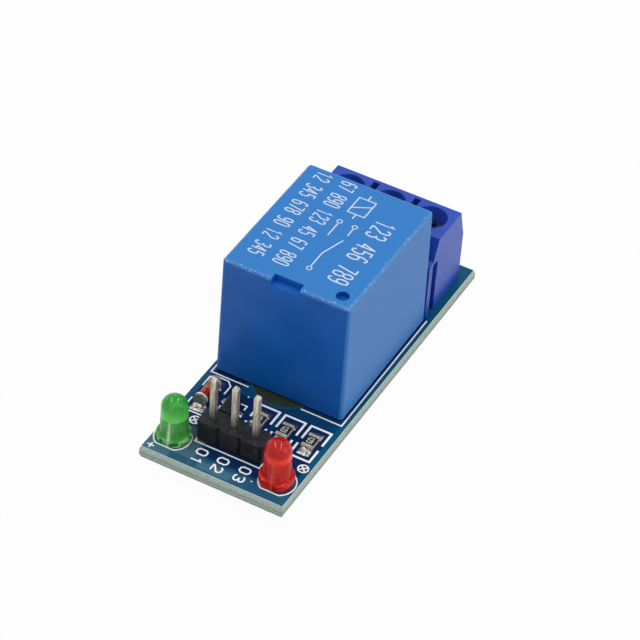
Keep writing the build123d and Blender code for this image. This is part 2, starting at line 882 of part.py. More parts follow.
def terminal_clamp(x):
    """Clamp plate under the screw's tip, with a lip turned up towards the wire entry."""
    front = cage_front + cage_wall + clamp_play
    rear = cage_front + cage_length
    high = clamp_bottom + clamp_thickness
    bend = rear - clamp_lip
    points = [(front, clamp_bottom), (bend, clamp_bottom), (rear, clamp_bottom + clamp_lip),
              (rear, high + clamp_lip), (bend, high), (front, high)]
    return side_profile(points, around(x, clamp_width))


def module_nodes():
    """Every node's name with its shape."""
    nodes = {"circuit_board": circuit_board()}
    lamp_names = ("green_lamp", "red_lamp")
    lamp_leads = []
    for name, (x, y) in zip(lamp_names, lamp_places()):
        frames = [lamp_frame(x, y, -1), lamp_frame(x, y, 1)]
        nodes[name + "_lens"] = lamp_lens(x, y, frames + [lamp_chip(x, y)])
        nodes[name + "_cathode"] = frames[0]
        nodes[name + "_anode"] = frames[1]
        nodes[name + "_chip"] = lamp_chip(x, y)
        lamp_leads += frames
    nodes["solder_lamps"] = solder_joints("lamps", lamp_leads)

    pins = [header_pin(x, y) for x, y in header_pin_places()]
    nodes["header_body"] = header_body(pins)
    for number, pin in enumerate(pins, 1):
        nodes[f"header_pin_{number}"] = pin
    nodes["solder_header"] = solder_joints("header", pins)

    for number, x in enumerate(resistor_places(), 1):
        nodes[f"resistor_{number}_body"] = resistor_body(x)
        nodes[f"resistor_{number}_ends"] = resistor_ends(x)
    chip_joints = [joint for x in resistor_places() for joint in resistor_solder(x).solids()]
    nodes["solder_resistors"] = Compound(chip_joints)
    nodes["diode_glass"] = diode_glass()
    nodes["diode_ends"] = diode_ends()
    nodes["diode_chip"] = diode_chip()
    nodes["solder_diode"] = diode_solder()
    nodes["transistor_body"] = transistor_body()
    nodes["transistor_leads"] = transistor_leads()
    nodes["solder_transistor"] = transistor_solder()

    coil_pins = [relay_coil_pin(x, y) for x, y in coil_pin_places()]
    strips = [relay_lower_strip(), relay_upper_strip()]
    relay_pins = coil_pins + [relay_common_pin()] + strips
    nodes["relay_cover"] = relay_cover()
    nodes["relay_base"] = relay_base(relay_pins)
    nodes["relay_compound"] = relay_compound(relay_pins)
    nodes["relay_coil_pins"] = Compound(coil_pins)
    nodes["relay_common_pin"] = relay_common_pin()
    nodes["relay_yoke"] = relay_yoke()
    nodes["relay_core"] = relay_core()
    nodes["relay_former"] = relay_former()
    nodes["relay_winding"] = relay_winding()
    nodes["relay_armature"] = relay_armature()
    nodes["relay_leaf"] = relay_leaf()
    nodes["relay_moving_contact"] = relay_moving_contact()
    nodes["relay_lower_strip"] = strips[0]
    nodes["relay_upper_strip"] = strips[1]
    nodes["relay_fixed_contacts"] = relay_fixed_contacts()
    relay_solder = [solder_joints("relay_coil", coil_pins), solder_joints("relay_common", [relay_common_pin()]),
                    solder_joints("relay_contacts", strips)]
    nodes["solder_relay"] = Compound([joint for group in relay_solder for joint in group.solids()])

    cages = [terminal_cage(x) for x, y in terminal_places()]
    nodes["terminal_housing"] = terminal_housing()
    for number, (x, y) in enumerate(terminal_places(), 1):
        nodes[f"terminal_cage_{number}"] = cages[number - 1]
        nodes[f"terminal_screw_{number}"] = terminal_screw(x)
        nodes[f"terminal_clamp_{number}"] = terminal_clamp(x)
    nodes["solder_terminal"] = solder_joints("terminal", cages)
    return nodes


for name, shape in module_nodes().items():
    export_step(shape, f"parts/{name}.step")
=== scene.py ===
import json
from functools import reduce
from math import cos, pi, radians, sin

import bmesh
import bpy
from bpy.props import FloatProperty, FloatVectorProperty, PointerProperty
from mathutils import Matrix, Vector, noise


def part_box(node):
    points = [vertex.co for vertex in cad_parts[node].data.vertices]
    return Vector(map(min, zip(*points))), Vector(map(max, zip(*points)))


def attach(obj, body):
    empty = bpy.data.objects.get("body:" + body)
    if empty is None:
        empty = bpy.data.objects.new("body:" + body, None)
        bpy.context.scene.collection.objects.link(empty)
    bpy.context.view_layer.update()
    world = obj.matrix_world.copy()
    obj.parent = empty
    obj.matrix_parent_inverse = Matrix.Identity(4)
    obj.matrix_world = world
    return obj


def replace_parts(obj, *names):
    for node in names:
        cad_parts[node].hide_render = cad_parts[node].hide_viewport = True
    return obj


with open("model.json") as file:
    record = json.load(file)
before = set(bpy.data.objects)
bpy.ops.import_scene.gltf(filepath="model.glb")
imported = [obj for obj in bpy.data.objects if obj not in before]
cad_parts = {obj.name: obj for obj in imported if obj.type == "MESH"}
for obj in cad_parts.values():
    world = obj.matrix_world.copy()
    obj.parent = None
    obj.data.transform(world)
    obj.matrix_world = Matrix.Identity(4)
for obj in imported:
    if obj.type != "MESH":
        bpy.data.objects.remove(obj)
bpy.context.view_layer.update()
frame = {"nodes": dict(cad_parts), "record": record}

bl_info = {
    "name": "Relay module board",
    "version": (1, 0, 0),
    "blender": (4, 5, 0),
    "location": "3D View > Sidebar > Relay module",
    "description": "Print, lamps, solder and finishes of a relay module board",
    "category": "Object",
}

# Lengths below are in millimetres on the board: x from its left edge, y from its front edge and z up
# from its top face. The frame itself is in metres.
MM = 0.001
# The snapped edges stand out this far beyond the lacquered top face.
EDGE_STAND_OUT = 0.17
BOARD_LOW, BOARD_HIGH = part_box("circuit_board")
CORNER = Vector((BOARD_LOW.x + EDGE_STAND_OUT * MM, BOARD_LOW.y + EDGE_STAND_OUT * MM, BOARD_HIGH.z))


def on_board(x, y, z=0.0):
    """Point of the frame for a place given in board millimetres."""
    return CORNER + Vector((x, y, z)) * MM


def board_box(node):
    """Low and high corners of a node, in board millimetres."""
    return [(corner - CORNER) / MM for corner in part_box(node)]


def board_centre(node):
    """Middle of a node's plan, in board millimetres."""
    low, high = board_box(node)
    return (low.x + high.x) / 2, (low.y + high.y) / 2


# Thickness, heights above the top face, and the round bare field behind the chip resistors.
BOARD_THICKNESS = -board_box("circuit_board")[0].z
RELAY_TOP = board_box("relay_cover")[1].z
CHIP_TOP = board_box("resistor_1_body")[1].z
LAMP_BOTTOM = board_box("green_lamp_lens")[0].z
BARE_DISC, BARE_RADIUS = (8.2, 16.1), 3.62


def tint(code):
    """Linear colour for a six-digit display colour code."""
    parts = [int(code[i:i + 2], 16) / 255 for i in (0, 2, 4)]
    return tuple(p / 12.92 if p <= 0.04045 else ((p + 0.055) / 1.055) ** 2.4 for p in parts)


# Material sheets


class Value:
    """A socket of a material sheet; Python's operators on it add the sheet's Math nodes."""

    def __init__(self, sheet, socket):
        self.sheet = sheet
        self.socket = socket

    def __add__(self, other):
        return self.sheet.maths("ADD", self, other)

    def __sub__(self, other):
        return self.sheet.maths("SUBTRACT", self, other)

    def __rsub__(self, other):
        return self.sheet.maths("SUBTRACT", other, self)

    def __mul__(self, other):
        return self.sheet.maths("MULTIPLY", self, other)

    def __abs__(self):
        return self.sheet.maths("ABSOLUTE", self)

    __radd__ = __add__
    __rmul__ = __mul__

    def least(self, other):
        return self.sheet.maths("MINIMUM", self, other)

    def most(self, other):
        return self.sheet.maths("MAXIMUM", self, other)


class Sheet:
    """The node tree of one material."""

    def __init__(self, tree):
        self.tree = tree
        self.coordinates = None

    def feed(self, socket, value):
        """Links a value to a socket, or sets the socket to a plain number, colour or vector."""
        if isinstance(value, Value):
            self.tree.links.new(value.socket, socket)
        elif socket.type == "RGBA" and len(value) == 3:
            socket.default_value = (*value, 1.0)
        else:
            socket.default_value = value

    def node(self, kind, settings=None, sockets=None, output=0):
        """Adds a node: its settings first, then the values or links of its sockets."""
        node = self.tree.nodes.new(kind)
        for name, value in (settings or {}).items():
            setattr(node, name, value)
        for name, value in (sockets or {}).items():
            self.feed(node.inputs[name], value)
        return Value(self, node.outputs[output]) if node.outputs else None

    def maths(self, operation, *numbers):
        return self.node("ShaderNodeMath", {"operation": operation}, dict(enumerate(numbers)))

    def mix(self, share, plain, other):
        """Colour that goes from plain to other as the share goes from 0 to 1."""
        settings = {"data_type": "RGBA", "clamp_factor": True}
        return self.node("ShaderNodeMix", settings, {0: share, 6: plain, 7: other}, 2)

    def fade(self, value, start, end):
        """0 at start and 1 at end, smooth between them and level outside."""
        sockets = {"Value": value, "From Min": min(start, end), "From Max": max(start, end),
                   "To Min": 0.0 if start < end else 1.0, "To Max": 1.0 if start < end else 0.0}
        return self.node("ShaderNodeMapRange", {"interpolation_type": "SMOOTHSTEP"}, sockets)

    def spot(self):
        """Position vector in board millimetres."""
        if self.coordinates is None:
            place = self.node("ShaderNodeTexCoord", output="Object")
            shift = tuple(-c / MM for c in CORNER)
            sockets = {0: place, 1: (1 / MM,) * 3, 2: shift}
            self.coordinates = self.node("ShaderNodeVectorMath", {"operation": "MULTIPLY_ADD"}, sockets)
        return self.coordinates

    def place(self):
        """The x, y and z of the surface in board millimetres."""
        split = self.node("ShaderNodeSeparateXYZ", sockets={0: self.spot()})
        return [Value(self, output) for output in split.socket.node.outputs]

    def grain(self, size, detail=3.0, roughness=0.55, stretch=(1.0, 1.0, 1.0)):
        """Noise from 0 to 1 with patches of about the given size in millimetres."""
        scaled = self.node("ShaderNodeVectorMath", {"operation": "MULTIPLY"},
                           {0: self.spot(), 1: tuple(1 / s for s in stretch)})
        sockets = {"Vector": scaled, "Scale": 1 / size, "Detail": detail, "Roughness": roughness}
        return self.node("ShaderNodeTexNoise", {}, sockets)

    def specks(self, size, reach):
        """Small round dots, 1 in their middle, on a loose grid of the given size in millimetres."""
        sockets = {"Vector": self.spot(), "Scale": 1 / size}
        distance = self.node("ShaderNodeTexVoronoi", {"feature": "F1"}, sockets, "Distance")
        return self.fade(distance, reach, reach * 0.5)

    def box(self, x, y, low, high, soft):
        """1 inside a rectangle of the plan."""
        left = self.fade(x, low[0] - soft, low[0] + soft)
        right = self.fade(x, high[0] + soft, high[0] - soft)
        front = self.fade(y, low[1] - soft, low[1] + soft)
        rear = self.fade(y, high[1] + soft, high[1] - soft)
        return left * right * front * rear

    def disc(self, x, y, centre, radius):
        """1 inside a circle of the plan."""
        soft = 0.06
        across, along = x - centre[0], y - centre[1]
        distance = self.maths("SQRT", across * across + along * along)
        return self.fade(distance, radius + soft, radius - soft)

    def bump(self, height, strength, depth):
        """Normal of a relief whose height from 0 to 1 stands for a depth in millimetres."""
        sockets = {"Strength": strength, "Distance": depth * MM, "Height": height}
        return self.node("ShaderNodeBump", {}, sockets)


def blank_sheet(owner):
    """Empty sheet of a material or a world."""
    owner.use_nodes = True
    owner.node_tree.nodes.clear()
    return Sheet(owner.node_tree)


def material(name, paint, *facts, **more):
    """Material whose shader sockets are given by the paint function.

    Where it also gives a Through colour, that tints what is seen through the surface, and its Cover is
    the share of the surface that hides it.
    """
    made = bpy.data.materials.new(name)
    sheet = blank_sheet(made)
    sockets = paint(sheet, *facts, **more)
    cover, through = sockets.pop("Cover", None), sockets.pop("Through", None)
    shader = sheet.node("ShaderNodeBsdfPrincipled", sockets=sockets)
    if through:
        clear = sheet.node("ShaderNodeBsdfTransparent", sockets={"Color": through})
        shader = sheet.node("ShaderNodeMixShader", sockets={0: cover, 1: clear, 2: shader})
    sheet.node("ShaderNodeOutputMaterial", sockets={"Surface": shader})
    return made


def nodes_of(slot):
    """CAD nodes that the record gives a material slot."""
    return [s["node"] for s in frame["record"]["subparts"] if s["material_slot"] == slot]


def coat(names, finish):
    """Gives CAD nodes a material."""
    for name in names:
        body = frame["nodes"][name]
        body.data.materials.clear()
        body.data.materials.append(finish)


def finish_slot(slot, name, paint, *facts, **more):
    """Makes a material and gives it to the CAD nodes of a slot."""
    coat(nodes_of(slot), material(name, paint, *facts, **more))


def soften(names, width):
    """Rounds the sharp edges of CAD nodes by a width in millimetres."""
    for name in names:
        body = frame["nodes"][name]
        weld = body.modifiers.new("weld", "WELD")
        weld.merge_threshold = 0.002 * MM
        bevel = body.modifiers.new("bevel", "BEVEL")
        bevel.width = width * MM
        bevel.segments = 2
        bevel.limit_method = "ANGLE"
        bevel.angle_limit = radians(35)
        bevel.harden_normals = True


# Finishes


def lacquered_laminate(sheet, settings):
    """Solder mask over tracks on both faces, bare fibreglass on the snapped edges and in the holes."""
    x, y, z = sheet.place()
    top = sheet.fade(z, -0.02, -0.004)
    under = sheet.fade(z, 0.02 - BOARD_THICKNESS, 0.004 - BOARD_THICKNESS)
    weave = sheet.grain(0.35, 2.0, stretch=(1.0, 0.35, 1.0))
    streak = sheet.grain(0.45, 5.0, 0.65, stretch=(3.0, 3.0, 0.3))
    chips = sheet.grain(0.2, 3.0, 0.7)
    tracks = strongest([sheet.box(x, y, low, high, 0.08) * share for low, high, share in copper_areas()])
    pads = strongest([sheet.disc(x, y, centre, radius) for centre, radius in under_pads()])

    mask, lower = lacquer(sheet, settings, x, y, tracks)
    bare = sheet.disc(x, y, BARE_DISC, BARE_RADIUS)
    fibre = sheet.mix(weave, tint("27332B"), tint("38432F"))
    upper = sheet.mix(bare, mask, fibre)
    lower = sheet.mix(pads, lower, tint("B9BCB8"))
    edge = snapped_edge(sheet, z, streak, chips)
    flat = top.most(under)
    web = sheet.fade(z, -0.42, -0.5) * sheet.fade(z, -1.2, -1.12)
    relief = (1 - flat) * (0.35 + web) * (chips * 0.6 + streak) + flat * (tracks * 0.4 + weave * 0.05)
    return {
        "Base Color": sheet.mix(top, sheet.mix(under, edge, lower), upper),
        "Roughness": 0.62 - flat * 0.3 + bare * top * 0.2,
        "Specular IOR Level": 0.1,
        "Normal": sheet.bump(relief, 0.7, 0.09),
    }


def copper_areas():
    """Low and high corners of the copper under the lacquer, and how much it shows through."""
    return [((-1, -1), (0.72, 50), 1), ((16.05, -1), (20, 50), 1), ((5.1, 12.2), (20, 14.5), 0.4),
            ((-1, 33.3), (20, 50), 1), ((4.5, 12.2), (6.9, 50), 0.7), ((10.0, 8.9), (10.35, 12.3), 0.4)]


def strongest(masks):
    """Largest of several masks."""
    return reduce(Value.most, masks)


def lacquer(sheet, settings, x, y, tracks):
    """Colours of the solder mask on the top face and on the underside, with painted sheen along the front.
    """
    cloudy = sheet.grain(2.6, 4.0)
    mask = sheet.mix(cloudy * 0.4, settings.lacquer, tint("0B2350"))
    mask = sheet.mix(tracks, mask, settings.lacquer_on_copper)
    lower = sheet.mix(0.35, mask, tint("0D3B5E"))
    # Painted sheen: a paler teal band along the front edge stands in for light reflected there.
    strip = sheet.fade(y + (cloudy - 0.5) * 1.2, 2.3, 1.5)
    mask = sheet.mix(strip * 0.8, mask, tint("286284"))
    # Fields along the front: painted sheen at the left corner, copper under the lacquer in the middle, and
    # a darker field.
    for low, high, soft, share, tone in sheen_and_copper_fields():
        mask = sheet.mix(sheet.box(x, y, low, high, soft) * share, mask, tint(tone))
    ring = sheet.disc(x, y, BARE_DISC, BARE_RADIUS + 0.23)
    return sheet.mix(ring * 0.5, mask, tint("2C5F78")), lower


def sheen_and_copper_fields():
    """Paler and darker fields along the front: low and high corner, softness, share and tone."""
    # The first field is painted sheen, the third is copper under the lacquer, and the second is only
    # darker.
    return [((-1, -1), (5.4, 5.2), 0.3, 0.55, "567F8E"), ((3.0, -1), (5.3, 0.95), 0.2, 0.7, "15506A"),
            ((6.3, 0.2), (10.2, 1.3), 0.25, 0.45, "5A8AA0")]


def snapped_edge(sheet, z, streak, chips):
    """Colour of the snapped fibreglass: streaks, the scored creases, chips, a pale upper rim and painted
    shade low down.
    """
    edge = sheet.mix(streak, tint("8CA49B"), tint("C2D2C9"))
    crease = sheet.fade(abs(z + 0.42), 0.1, 0.02)
    edge = sheet.mix(crease * 0.55, edge, tint("C2CBC2"))
    middle = sheet.fade(abs(z + 0.85 + (streak - 0.5) * 0.3), 0.1, 0.01)
    edge = sheet.mix(middle * 0.65, edge, tint("6A6A54"))
    # Painted shade: the lower bevel, which faces down, is painted darker.
    edge = sheet.mix(sheet.fade(z, -1.1, -1.35) * 0.45, edge, tint("5E6F68"))
    edge = sheet.mix(sheet.fade(chips, 0.56, 0.68) * 0.55, edge, tint("4F5D50"))
    edge = sheet.mix(sheet.fade(chips, 0.42, 0.34) * 0.5, edge, tint("DDE6DC"))
    rim = sheet.fade(z + (streak - 0.5) * 0.12, -0.14, -0.03) * sheet.fade(z, 0.0, -0.02)
    return sheet.mix(rim * 0.7, edge, tint("DCE6DE"))


def under_pads():
    """Centres and radii of the solder pads, in board millimetres."""
    pads, half_pitch = [], 2.54 / 2
    for lens in LAMP_LOOKS:
        x, y = board_centre(lens)
        pads += [((x, y - half_pitch), 0.95), ((x, y + half_pitch), 0.95)]
    for number in (1, 2, 3):
        pads.append((board_centre(f"header_pin_{number}"), 1.0))
        pads.append((board_centre(f"terminal_screw_{number}"), 1.3))
    pads.append((board_centre("relay_common_pin"), 1.35))
    lower, upper = board_box("relay_lower_strip"), board_box("relay_upper_strip")
    pads.append(((lower[0].x + 0.5, lower[1].y - 0.2), 1.2))
    pads.append(((upper[1].x - 0.5, upper[1].y - 0.2), 1.2))
    low, high = board_box("relay_coil_pins")
    for x in (low.x + 0.3, high.x - 0.3):
        pads.append(((x, (low.y + high.y) / 2), 1.15))
    return pads


def moulding(sheet, tone, rough, gloss, mottle=0.12, texture=0.006, scuffs=0.0):
    """Moulded plastic with a fine spark-eroded texture, faint flow clouds and a few pale specks."""
    clouds = sheet.grain(3.5, 3.0)
    fine = sheet.grain(0.12, 2.0, 0.6)
    pale = tuple(min(1.0, c * (1 + mottle * 2) + 0.004) for c in tone)
    dark = tuple(c * (1 - mottle) for c in tone)
    colour = sheet.mix(sheet.fade(clouds, 0.3, 0.7), dark, pale)
    dust = sheet.specks(0.9, 0.05)
    colour = sheet.mix(dust * 0.35, colour, tuple(c * 0.6 + 0.25 for c in tone))
    if scuffs:
        rubbed = sheet.fade(sheet.grain(0.35, 4.0, 0.7), 0.56, 0.72).most(sheet.specks(0.5, 0.1))
        colour = sheet.mix(rubbed * scuffs, colour, tuple(c * 0.8 + 0.12 for c in tone))
    return {
        "Base Color": colour,
        "Roughness": rough - 0.05 + fine * 0.1,
        "Specular IOR Level": gloss,
        "Normal": sheet.bump(fine, 0.6, texture),
    }


def relay_moulding(sheet, settings):
    """Satin blue relay cover: faint clouds, painted sheen on top and right side, scuffs and a painted
    highlight on top edges.
    """
    x, y, z = sheet.place()
    clouds = sheet.grain(4.5, 4.0, 0.6)
    fine = sheet.grain(0.1, 2.0, 0.6)
    colour = sheet.mix(sheet.fade(clouds, 0.25, 0.75), settings.cover_shade, settings.cover)
    # Painted sheen: the top face is painted a paler blue, standing in for the light that falls on it.
    top_face = sheet.fade(z, RELAY_TOP - 0.15, RELAY_TOP - 0.02)
    colour = sheet.mix(top_face, colour, settings.cover_top_sheen)
    low, high = cover_top_corners()
    inside = (x - low.x).least(high.x - x).least(y - low.y).least(high.y - y)
    # Painted sheen: the right side is painted paler and greyer, standing in for the white surroundings it
    # reflects.
    colour = sheet.mix(sheet.fade(high.x - x, 0.12, 0.02), colour, settings.cover_side_sheen)
    # The pale rim is partly a painted highlight along the rounded top edges, and partly pale scuffs where
    # the wear noise is high.
    rim = sheet.fade(inside, 0.22, 0.02) * sheet.fade(z, RELAY_TOP - 0.5, RELAY_TOP - 0.15)
    wear = sheet.fade(sheet.grain(0.3, 4.0, 0.7), 0.52, 0.62)
    colour = sheet.mix(rim * (0.25 + wear * 0.6), colour, tint("7FB2E6"))
    nicks = sheet.specks(0.45, 0.16) * sheet.fade(inside, 0.35, 0.1) * top_face
    middle, half = (low + high) / 2, (high - low) / 2
    off_corner = abs(abs(x - middle.x) - half.x).most(abs(abs(y - middle.y) - half.y))
    upright = sheet.fade(off_corner, 0.42, 0.3)
    nicks = nicks.most(sheet.specks(0.5, 0.1) * upright * 0.8)
    colour = sheet.mix(nicks * 0.85, colour, tint("E4EEF8"))
    colour = sheet.mix(sheet.specks(0.7, 0.045) * 0.3, colour, tint("6FA2DC"))
    return {
        "Base Color": colour,
        "Roughness": 0.34 + fine * 0.1 + clouds * 0.06,
        "Specular IOR Level": 0.26,
        "Normal": sheet.bump(fine, 0.5, 0.005),
    }


def cover_top_corners():
    """Low and high corners of the relay cover's top face, in board millimetres."""
    cover = frame["nodes"]["relay_cover"].data.vertices
    high = max(v.co.z for v in cover)
    top = [(v.co - CORNER) / MM for v in cover if v.co.z > high - 0.1 * MM]
    return [Vector((pick(p.x for p in top), pick(p.y for p in top))) for pick in (min, max)]


def metal(sheet, tone, shade, rough=0.3, size=0.5, stretch=(1.0, 1.0, 1.0), depth=0.006, full=1.0):
    """Metal with tarnished patches and fine drawn or rolled marks."""
    patches = sheet.grain(size, 4.0, 0.6, stretch)
    fine = sheet.grain(size * 0.22, 2.0, 0.6, stretch)
    return {
        "Base Color": sheet.mix(sheet.fade(patches, 0.35, 0.68), tone, shade),
        "Metallic": full,
        "Roughness": rough + patches * 0.12,
        "Normal": sheet.bump(patches * 0.6 + fine * 0.4, 0.6, depth),
    }


# How the lamps differ: height of the flange's rim, softness of the ring, heights between which the
# dome deepens, share that hides the inside, size of the foot's patches, and the colour of the post painted
# on the resin.
LAMP_LOOKS = {
    "green_lamp_lens": {
        "rim": 0.65, "blur": 0.06, "shade": (3.4, 5.2), "cover": 0.7, "rough": 0.14, "patch": 0.55,
        "post": tint("F0FFE4"), "post_share": 0.9, "through": tint("E8FAE6")},
    "red_lamp_lens": {
        "rim": 0.92, "blur": 0.3, "shade": (3.9, 4.6), "cover": 0.6, "rough": 0.05, "patch": 0.95,
        "post": tint("F08C7C"), "post_share": 0.3, "through": tint("FF9A8C")},
}


def lamp_tones(settings, lamp):
    """Settings of one lamp, under the names that its resin takes."""
    parts = ("dome", "bright", "low", "glint", "ring")
    return {part: getattr(settings, f"{lamp}_{part}") for part in parts}


def lamp_resin(sheet, lens, dome, bright, low, glint, ring):
    """Tinted lamp resin: milky dome above a ring with painted glow and streaks, clearer below with a
    painted post.
    """
    look = LAMP_LOOKS[lens]
    x, y, z = sheet.place()
    cx, cy = board_centre(lens)
    rim = LAMP_BOTTOM + look["rim"]
    swirl = sheet.grain(0.8, 3.0, 0.6, (1.0, 1.0, 1.6))
    height = z + (swirl - 0.5) * 0.1
    upper = sheet.fade(height, ring - look["blur"], ring + look["blur"])
    # Painted glow: the dome is painted bright just above its ring and deepens upward.
    milky = sheet.mix(sheet.fade(height, *look["shade"]), bright, dome)
    # Painted highlights: pale vertical streaks on the dome, and in the clear body below.
    streak = sheet.fade(sheet.grain(0.4, 2.0, 0.5, (1.0, 1.0, 5.0)), 0.45, 0.7)
    milky = sheet.mix(streak * upper * 0.3, milky, bright)
    foot = sheet.fade(z, rim + 0.1, rim - 0.1)
    # Painted glints and darker patches in the foot, standing in for light refracted in the flange.
    patches = sheet.grain(look["patch"], 2.0, 0.5)
    dark = tuple(c * 0.5 for c in dome)
    sparkle = sheet.mix(sheet.fade(patches, 0.4, 0.52), dark, low)
    sparkle = sheet.mix(sheet.fade(patches, 0.47, 0.6) * 0.8, sparkle, glint)
    clear = sheet.mix(foot, sheet.mix(streak * 0.4, low, bright), sparkle)
    # Painted highlight: a pale stripe on the resin stands in for the lit post of the frame, which also
    # shows a little through the thinner cover there.
    window = sheet.fade(abs(x - cx - 0.21), 0.2, 0.1) * sheet.fade(y, cy, cy - 0.5) * (1 - foot * 0.4)
    clear = sheet.mix(window * look["post_share"], clear, look["post"])
    hidden = look["cover"] + upper.most(foot) * (0.97 - look["cover"])
    return {
        "Base Color": sheet.mix(upper, clear, milky),
        "Roughness": look["rough"],
        "Specular IOR Level": 0.3,
        "Through": look["through"],
        "Cover": hidden * (1 - window * (1 - upper) * 0.2),
        "Normal": sheet.bump(swirl, 0.3, 0.03),
    }


def diode_sleeve(sheet):
    """Red glass whose pellet shows paler through it, with painted shade on its sides and darker ends."""
    x, y = sheet.place()[:2]
    cx, cy = board_centre("diode_glass")
    along = abs(y - cy)
    patches = sheet.grain(0.5, 4.0, 0.6, (0.5, 1.6, 0.5))
    body = sheet.mix(sheet.fade(patches, 0.35, 0.65), tint("981C12"), tint("CC4028"))
    ends = sheet.fade(along, 0.75, 1.15)
    body = sheet.mix(ends * 0.6, body, tint("7A140E"))
    # Painted shade: the glass is painted darker towards its sides, where the cylinder turns away.
    sides = sheet.fade(abs(x - cx), 0.3, 0.52)
    body = sheet.mix(sides * 0.7, body, tint("4E0C0A"))
    sparks = sheet.fade(sheet.grain(0.16, 2.0, 0.6, (0.6, 2.2, 0.6)), 0.56, 0.66)
    body = sheet.mix(sparks * 0.7, body, tint("F0684A"))
    pellet = sheet.fade(along, 0.28, 0.18)
    return {
        "Base Color": sheet.mix(pellet * 0.25, body, tint("EDB09C")),
        "Roughness": 0.12,
        "Specular IOR Level": 0.25,
        "Through": tint("E8604C"),
        "Cover": 0.8,
        "Coat Weight": 0.25,
        "Normal": sheet.bump(patches, 0.25, 0.02),
    }


def diode_stud(sheet):
    """Dull plated end of the diode with a painted highlight as a bright ring where the glass meets it."""
    y = sheet.place()[1]
    middle = board_centre("diode_glass")[1]
    seal = board_box("diode_glass")[1].y - middle + 0.07
    patches = sheet.grain(0.3, 4.0, 0.6)
    dull = sheet.mix(sheet.fade(patches, 0.35, 0.65), tint("8E988C"), tint("545E56"))
    # Painted highlight: a bright ring on the rim where the glass meets the end.
    ring = sheet.fade(abs(abs(y - middle) - seal), 0.15, 0.09)
    return {
        "Base Color": sheet.mix(ring, dull, tint("EFEBDF")),
        "Metallic": 0.45,
        "Roughness": 0.38 + patches * 0.1,
        "Normal": sheet.bump(patches, 0.5, 0.01),
    }


def wound_copper(sheet):
    """Turns of enamelled wire, wound in level rows."""
    wire = 0.09
    turns = sheet.maths("SINE", sheet.place()[2] * (2 * pi / wire))
    patches = sheet.grain(1.2, 3.0)
    return {
        "Base Color": sheet.mix(patches, tint("9C4A22"), tint("C8743C")),
        "Metallic": 0.85,
        "Roughness": 0.28,
        "Coat Weight": 0.4,
        "Normal": sheet.bump(turns * 0.5 + 0.5, 0.8, 0.03),
    }


def ink(sheet, tone, wear=0.3):
    """Printed ink, thin in places."""
    thin = sheet.fade(sheet.grain(0.18, 3.0, 0.7), 0.56, 0.75)
    return {
        "Base Color": sheet.mix(thin * wear, tone, tuple(c * 0.72 for c in tone)),
        "Roughness": 0.55,
        "Specular IOR Level": 0.2,
        "Normal": sheet.bump(thin, 0.3, 0.004),
    }


def ceramic(sheet):
    """Pale ceramic chip under a black glassy overcoat."""
    fine = sheet.grain(0.12, 3.0, 0.7)
    coated = sheet.fade(sheet.place()[2], CHIP_TOP - 0.09, CHIP_TOP - 0.05)
    pale = sheet.mix(fine, tint("CFC8B8"), tint("AFA898"))
    return {
        "Base Color": sheet.mix(coated, pale, sheet.mix(fine, tint("0C0D10"), tint("1E2024"))),
        "Roughness": 0.36 + fine * 0.2,
        "Specular IOR Level": 0.25,
        "Normal": sheet.bump(fine, 0.4, 0.01),
    }


def potting(sheet):
    """Dark sealing compound with a settled, slightly rippled skin."""
    ripple = sheet.grain(1.4, 3.0)
    return {
        "Base Color": sheet.mix(ripple, tint("1B1C1F"), tint("33343A")),
        "Roughness": 0.25 + ripple * 0.2,
        "Normal": sheet.bump(ripple, 0.8, 0.12),
    }


# Print


DIGITS = {
    "0": [[(0, 0.8), (0.25, 1), (0.75, 1), (1, 0.8), (1, 0.2), (0.75, 0), (0.25, 0), (0, 0.2), (0, 0.8)]],
    "1": [[(0.15, 0.78), (0.55, 1), (0.55, 0)]],
    "2": [[(0, 0.8), (0.25, 1), (0.75, 1), (1, 0.8), (1, 0.58), (0, 0.12), (0, 0), (1, 0)]],
    "3": [[(0, 0.84), (0.25, 1), (0.75, 1), (1, 0.82), (1, 0.66), (0.7, 0.52), (0.35, 0.52)],
          [(0.7, 0.52), (1, 0.36), (1, 0.18), (0.75, 0), (0.25, 0), (0, 0.16)]],
    "4": [[(0.75, 0), (0.75, 0.9)], [(0.75, 1), (0, 0.32), (1, 0.32)]],
    "5": [[(0.95, 1), (0.1, 1), (0.05, 0.56), (0.7, 0.6), (1, 0.42), (1, 0.2), (0.7, 0), (0.25, 0),
           (0, 0.16)]],
    "6": [[(0.9, 0.9), (0.7, 1), (0.3, 1), (0, 0.75), (0, 0.2), (0.25, 0), (0.6, 0)],
          [(0.6, 0), (0.75, 0), (1, 0.2), (1, 0.38), (0.75, 0.56), (0.25, 0.56), (0, 0.42)]],
    "7": [[(0, 1), (1, 1), (0.4, 0)]],
    "8": [[(0.25, 0.54), (0, 0.7), (0, 0.84), (0.25, 1), (0.75, 1), (1, 0.84), (1, 0.7), (0.75, 0.54)],
          [(0.25, 0.54), (0, 0.36), (0, 0.18), (0.25, 0), (0.75, 0), (1, 0.18), (1, 0.36), (0.75, 0.54),
           (0.25, 0.54)]],
    "9": [[(0.1, 0.1), (0.3, 0), (0.7, 0), (1, 0.25), (1, 0.8), (0.75, 1), (0.4, 1)],
          [(0.4, 1), (0.25, 1), (0, 0.8), (0, 0.62), (0.25, 0.44), (0.75, 0.44), (1, 0.58)]],
}


def digit_lines(text, start, height, advance):
    """Lines of plain digits that read towards the front, with their tops to the right."""
    lines, width = [], advance * 0.62
    for place, letter in enumerate(text):
        for stroke in DIGITS.get(letter, []):
            first = start[1] - place * advance
            lines.append([(start[0] + v * height, first - u * width) for u, v in stroke])
    return lines


